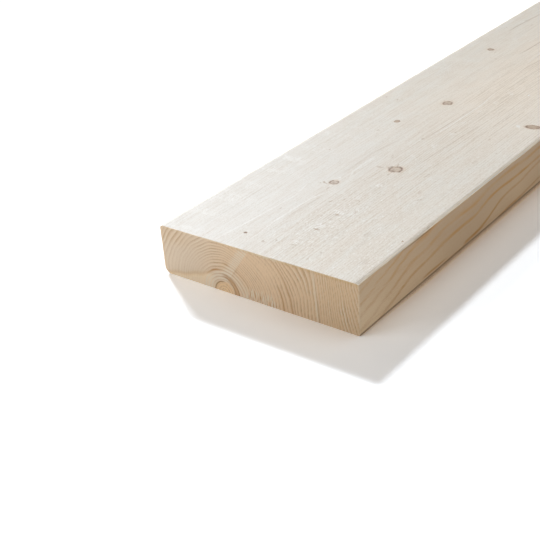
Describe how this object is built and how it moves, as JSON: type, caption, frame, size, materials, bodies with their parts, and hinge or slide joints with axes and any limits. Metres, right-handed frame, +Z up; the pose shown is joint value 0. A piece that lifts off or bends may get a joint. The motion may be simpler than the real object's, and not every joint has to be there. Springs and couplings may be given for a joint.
{
  "type": "timber plank",
  "caption": "Planed softwood plank of rectangular section with eased long edges and square-sawn ends, for framing, shelving and general building.",
  "frame": {"origin": "centre of the underside, on the floor the plank lies on", "axes": "+X along the grain from the near end to the far end, +Y across the width from the front edge to the back edge, +Z up through the thickness"},
  "size_m": [1.8, 0.195, 0.045],
  "materials": {
    "wood": "planed, matt"
  },
  "bodies": {
    "root": {"plank": "wood"}
  },
  "joints": []
}
